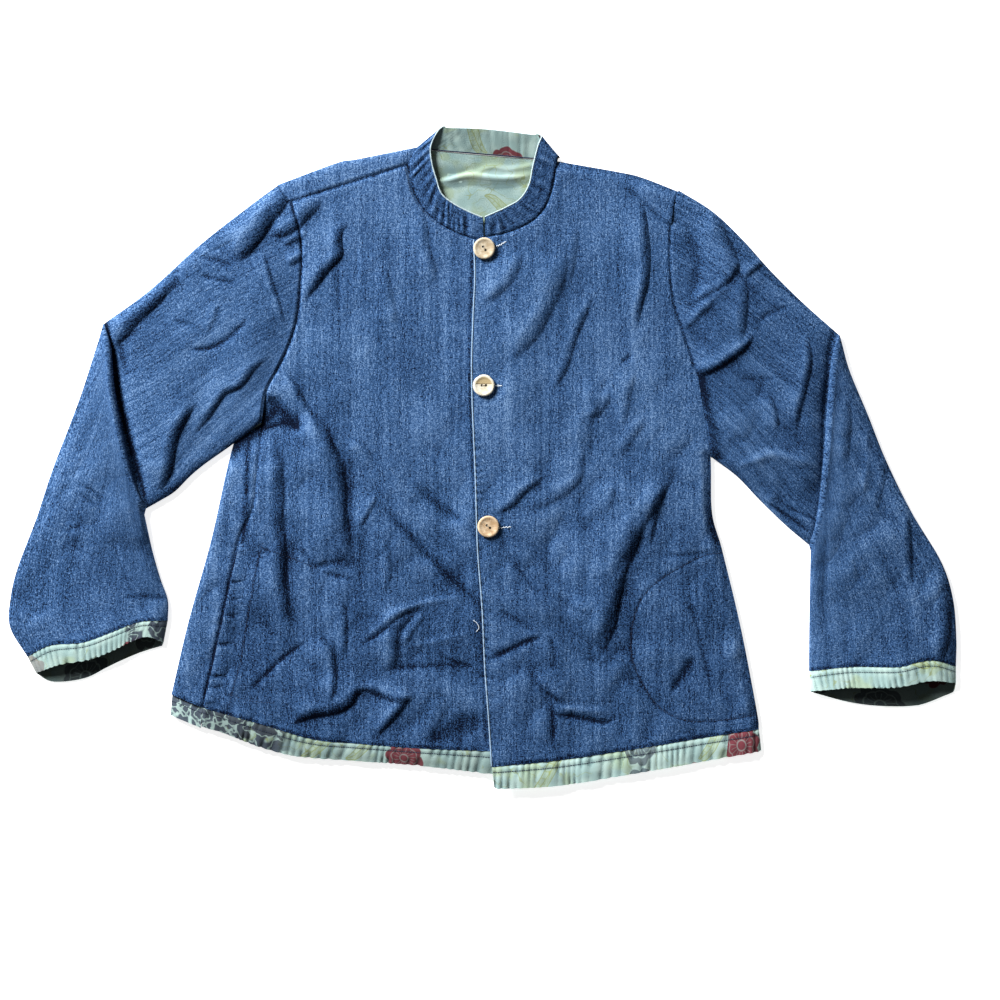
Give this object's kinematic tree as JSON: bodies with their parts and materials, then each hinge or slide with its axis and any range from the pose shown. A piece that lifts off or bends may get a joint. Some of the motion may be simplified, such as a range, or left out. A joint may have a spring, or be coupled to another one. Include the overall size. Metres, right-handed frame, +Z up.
{
  "type": "reversible jacket",
  "caption": "Band-collar denim jacket, buttoned and laid flat, with sleeves bent at the elbow and print lining turned out as hem and cuff bands.",
  "frame": {"origin": "middle of the jacket's footprint, on the floor that it lies on", "axes": "+X to the wearer's left, along the spread sleeves; +Y from hem to collar; +Z up, out of the front"},
  "size_m": [1.0419, 0.7289, 0.015],
  "materials": {
    "denim": "matte twill, mid blue with pale flecks",
    "print_cotton": "matte plain weave, pale aqua with a flower print",
    "coconut_shell": "satin"
  },
  "bodies": {
    "root": {"back": "denim", "back_shoulder": "denim", "right_front": "denim", "left_front": "denim", "right_sleeve": "denim", "left_sleeve": "denim", "collar": "denim", "pocket_welt": "denim", "collar_lining": "print_cotton", "back_lining": "print_cotton", "back_hem_band": "print_cotton", "right_hem_band": "print_cotton", "left_hem_band": "print_cotton", "right_cuff_band": "print_cotton", "left_cuff_band": "print_cotton", "button_top": "coconut_shell", "button_middle": "coconut_shell", "button_bottom": "coconut_shell"}
  },
  "joints": []
}
